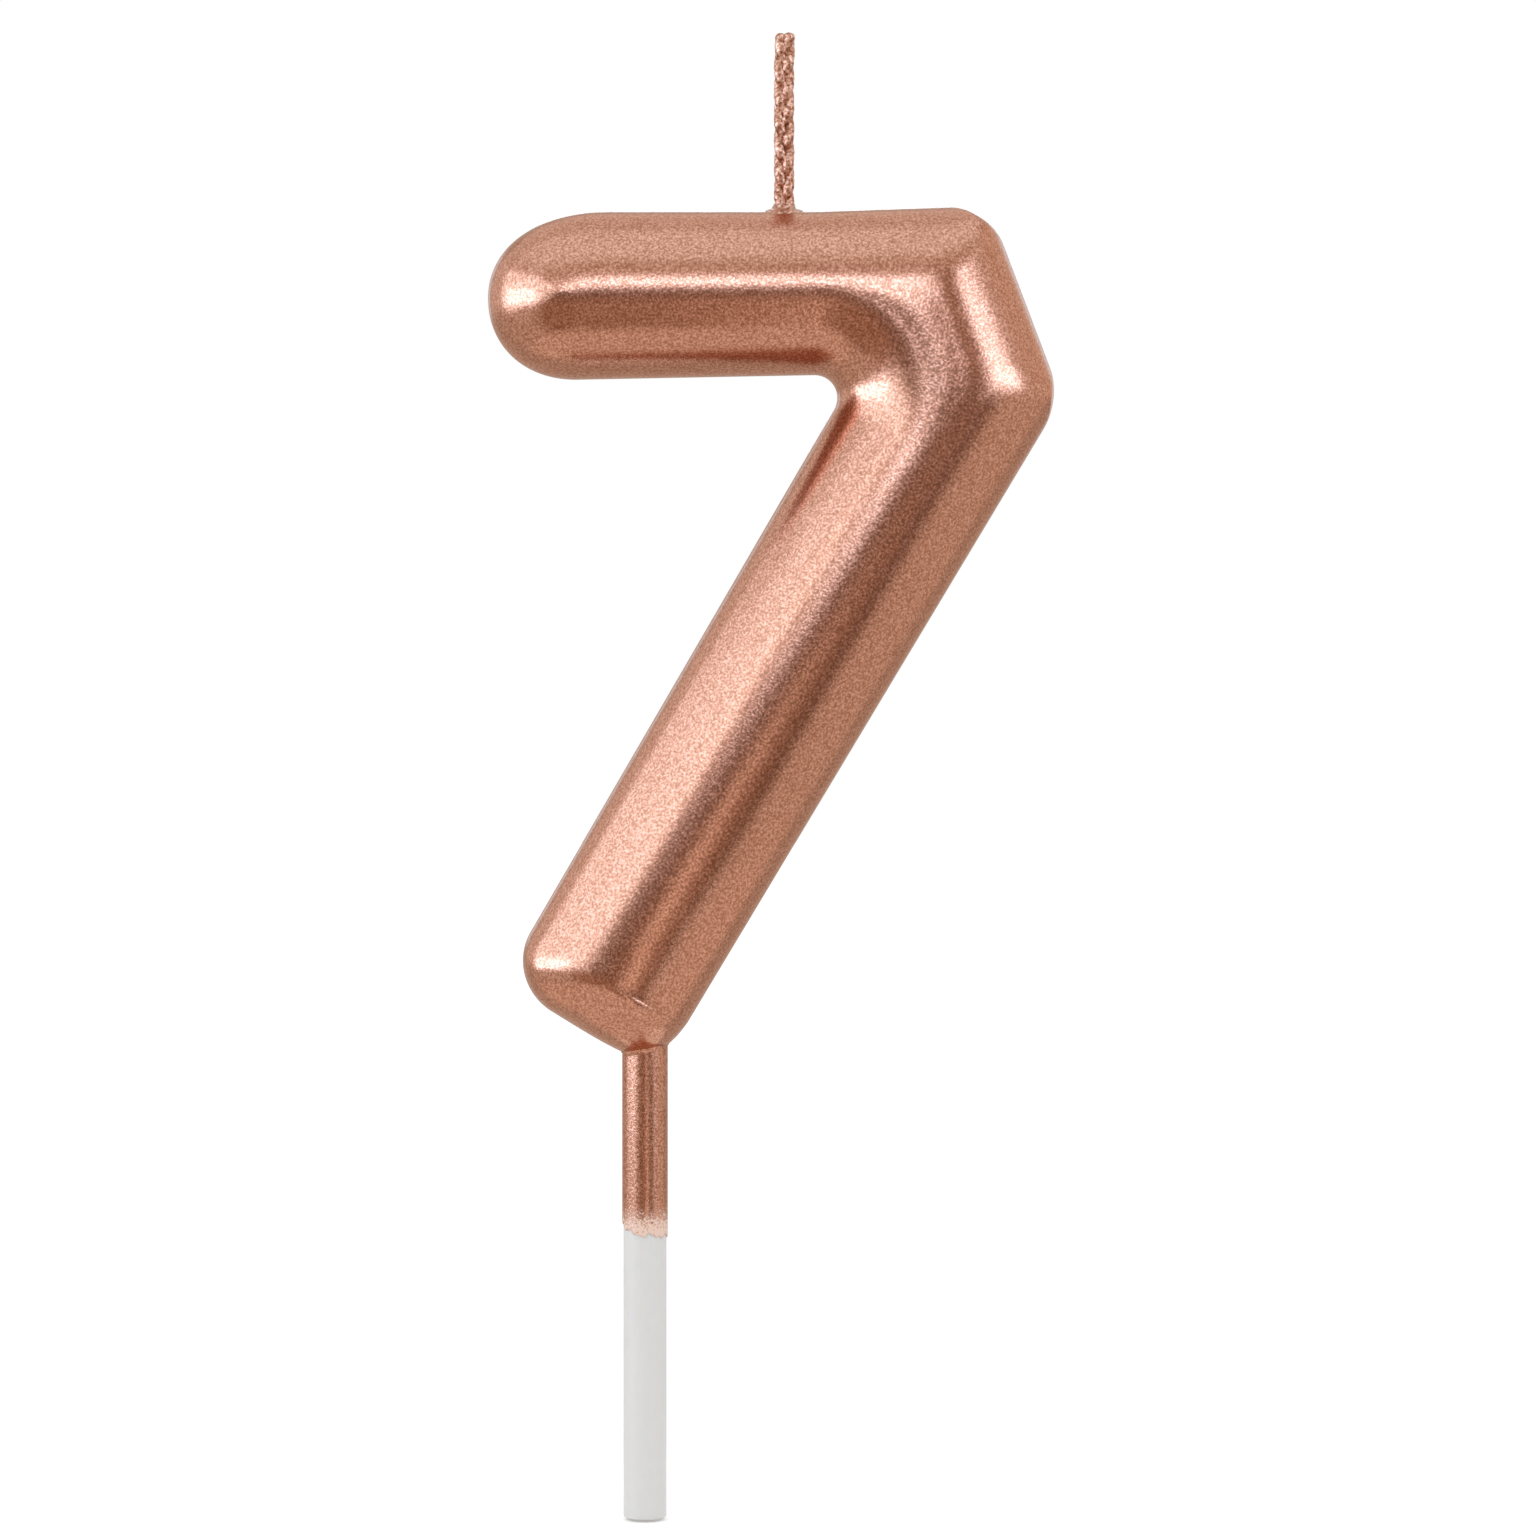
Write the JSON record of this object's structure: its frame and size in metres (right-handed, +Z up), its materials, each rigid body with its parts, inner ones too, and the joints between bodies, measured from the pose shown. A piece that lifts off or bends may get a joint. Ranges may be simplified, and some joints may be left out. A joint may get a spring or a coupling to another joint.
{
  "type": "number candle",
  "caption": "Number seven candle: a rounded wax numeral under a metallic coat, a plaited wick on its bar and a round stick below that pushes into a cake.",
  "frame": {"origin": "middle of the stick's flat lower end", "axes": "+Z up along the stick, +X to the right as the numeral is read, +Y from the front of the numeral to its back"},
  "size_m": [0.0472, 0.013, 0.124],
  "materials": {
    "wax": "plain cream wax",
    "coat": "satin rose gold metallic lacquer",
    "stick": "white satin plastic",
    "wick": "cotton plait under metallic lacquer"
  },
  "bodies": {
    "root": {"wax_core": "wax", "metallic_coat": "coat", "stick": "stick", "wick_strand_1": "wick", "wick_strand_2": "wick", "wick_strand_3": "wick"}
  },
  "joints": []
}
